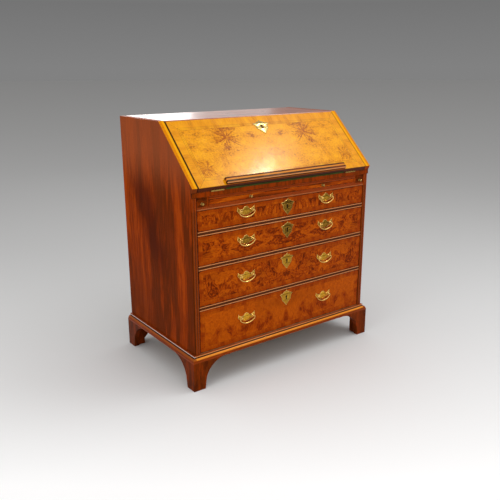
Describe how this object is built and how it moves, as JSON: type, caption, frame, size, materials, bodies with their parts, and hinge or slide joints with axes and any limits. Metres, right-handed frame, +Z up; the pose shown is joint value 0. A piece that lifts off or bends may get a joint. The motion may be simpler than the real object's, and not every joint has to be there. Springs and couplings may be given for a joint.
{
  "type": "slope-front bureau",
  "caption": "Walnut slope-front writing bureau: a fall on lopers over a brushing slide and long drawers, on bracket feet.",
  "frame": {"origin": "on the floor under the middle of the bounding box", "axes": "X to the right, -Y out of the front, Z up"},
  "size_m": [0.954, 0.568, 1.024],
  "materials": {
    "walnut": "figured walnut veneer, waxed",
    "oak": "plain oak",
    "brass": "worn lacquered brass",
    "leather": "green writing leather"
  },
  "bodies": {
    "carcase": {"left_side": "walnut", "right_side": "walnut", "top_board": "walnut", "back_boards": "oak", "bottom_board": "oak", "drawer_rails": "walnut", "drawer_runners": "oak", "dust_boards": "oak", "stile_beads": "walnut", "loper_partitions": "oak", "waist_moulding": "walnut", "waist_rail": "walnut", "writing_bed": "oak", "bed_lining": "leather", "base_mouldings": "walnut", "foot_front_left": "walnut", "foot_front_right": "walnut", "foot_back_left": "walnut", "foot_back_right": "walnut", "hinge_fixed_leaves": "brass", "pigeonholes": "oak"},
    "fall": {"fall_panel": "walnut", "book_rest": "walnut", "fall_escutcheon": "brass", "fall_lock": "brass", "fall_lining": "leather", "hinge_moving_leaves": "brass"},
    "left_loper": {"loper_left": "walnut", "loper_knob_left": "brass"},
    "right_loper": {"loper_right": "walnut", "loper_knob_right": "brass"},
    "slide": {"brushing_slide": "walnut", "slide_knobs": "brass"},
    "left_small_drawer": {"small_drawer_left": "walnut"},
    "centre_small_drawer": {"small_drawer_centre": "walnut"},
    "right_small_drawer": {"small_drawer_right": "walnut"},
    "drawer_1": {"drawer_1_front": "walnut", "drawer_1_linings": "oak", "drawer_1_handle_plates": "brass", "drawer_1_lock": "brass"},
    "drawer_1_bail_left": {"drawer_1_bail_left": "brass"},
    "drawer_1_bail_right": {"drawer_1_bail_right": "brass"},
    "drawer_2": {"drawer_2_front": "walnut", "drawer_2_linings": "oak", "drawer_2_handle_plates": "brass", "drawer_2_lock": "brass"},
    "drawer_2_bail_left": {"drawer_2_bail_left": "brass"},
    "drawer_2_bail_right": {"drawer_2_bail_right": "brass"},
    "drawer_3": {"drawer_3_front": "walnut", "drawer_3_linings": "oak", "drawer_3_handle_plates": "brass", "drawer_3_lock": "brass"},
    "drawer_3_bail_left": {"drawer_3_bail_left": "brass"},
    "drawer_3_bail_right": {"drawer_3_bail_right": "brass"},
    "drawer_4": {"drawer_4_front": "walnut", "drawer_4_linings": "oak", "drawer_4_handle_plates": "brass", "drawer_4_lock": "brass"},
    "drawer_4_bail_left": {"drawer_4_bail_left": "brass"},
    "drawer_4_bail_right": {"drawer_4_bail_right": "brass"}
  },
  "joints": [
    {"name": "fall_hinge", "type": "hinge", "parent": "carcase", "child": "fall", "pos_m": [0, -0.27, 0.78306], "axis": [1, 0, 0], "range_deg": [0, 136]},
    {"name": "left_loper_slide", "type": "slide", "parent": "carcase", "child": "left_loper", "axis": [0, -1, 0], "range_m": [0, 0.29]},
    {"name": "right_loper_slide", "type": "slide", "parent": "carcase", "child": "right_loper", "axis": [0, -1, 0], "range_m": [0, 0.29]},
    {"name": "brushing_slide_pull", "type": "slide", "parent": "carcase", "child": "slide", "axis": [0, -1, 0], "range_m": [0, 0.3]},
    {"name": "left_small_drawer_pull", "type": "slide", "parent": "carcase", "child": "left_small_drawer", "axis": [0, -1, 0], "range_m": [0, 0.13]},
    {"name": "centre_small_drawer_pull", "type": "slide", "parent": "carcase", "child": "centre_small_drawer", "axis": [0, -1, 0], "range_m": [0, 0.13]},
    {"name": "right_small_drawer_pull", "type": "slide", "parent": "carcase", "child": "right_small_drawer", "axis": [0, -1, 0], "range_m": [0, 0.13]},
    {"name": "drawer_1_pull", "type": "slide", "parent": "carcase", "child": "drawer_1", "axis": [0, -1, 0], "range_m": [0, 0.39]},
    {"name": "drawer_1_bail_left_swing", "type": "hinge", "parent": "drawer_1", "child": "drawer_1_bail_left", "pos_m": [-0.21, -0.2738, 0.68881], "axis": [-1, 0, 0], "range_deg": [0, 85]},
    {"name": "drawer_1_bail_right_swing", "type": "hinge", "parent": "drawer_1", "child": "drawer_1_bail_right", "pos_m": [0.21, -0.2738, 0.68881], "axis": [-1, 0, 0], "range_deg": [0, 85]},
    {"name": "drawer_2_pull", "type": "slide", "parent": "carcase", "child": "drawer_2", "axis": [0, -1, 0], "range_m": [0, 0.39]},
    {"name": "drawer_2_bail_left_swing", "type": "hinge", "parent": "drawer_2", "child": "drawer_2_bail_left", "pos_m": [-0.21, -0.2738, 0.57329], "axis": [-1, 0, 0], "range_deg": [0, 85]},
    {"name": "drawer_2_bail_right_swing", "type": "hinge", "parent": "drawer_2", "child": "drawer_2_bail_right", "pos_m": [0.21, -0.2738, 0.57329], "axis": [-1, 0, 0], "range_deg": [0, 85]},
    {"name": "drawer_3_pull", "type": "slide", "parent": "carcase", "child": "drawer_3", "axis": [0, -1, 0], "range_m": [0, 0.39]},
    {"name": "drawer_3_bail_left_swing", "type": "hinge", "parent": "drawer_3", "child": "drawer_3_bail_left", "pos_m": [-0.21, -0.2738, 0.42478], "axis": [-1, 0, 0], "range_deg": [0, 85]},
    {"name": "drawer_3_bail_right_swing", "type": "hinge", "parent": "drawer_3", "child": "drawer_3_bail_right", "pos_m": [0.21, -0.2738, 0.42478], "axis": [-1, 0, 0], "range_deg": [0, 85]},
    {"name": "drawer_4_pull", "type": "slide", "parent": "carcase", "child": "drawer_4", "axis": [0, -1, 0], "range_m": [0, 0.39]},
    {"name": "drawer_4_bail_left_swing", "type": "hinge", "parent": "drawer_4", "child": "drawer_4_bail_left", "pos_m": [-0.21, -0.2738, 0.24701], "axis": [-1, 0, 0], "range_deg": [0, 85]},
    {"name": "drawer_4_bail_right_swing", "type": "hinge", "parent": "drawer_4", "child": "drawer_4_bail_right", "pos_m": [0.21, -0.2738, 0.24701], "axis": [-1, 0, 0], "range_deg": [0, 85]}
  ]
}
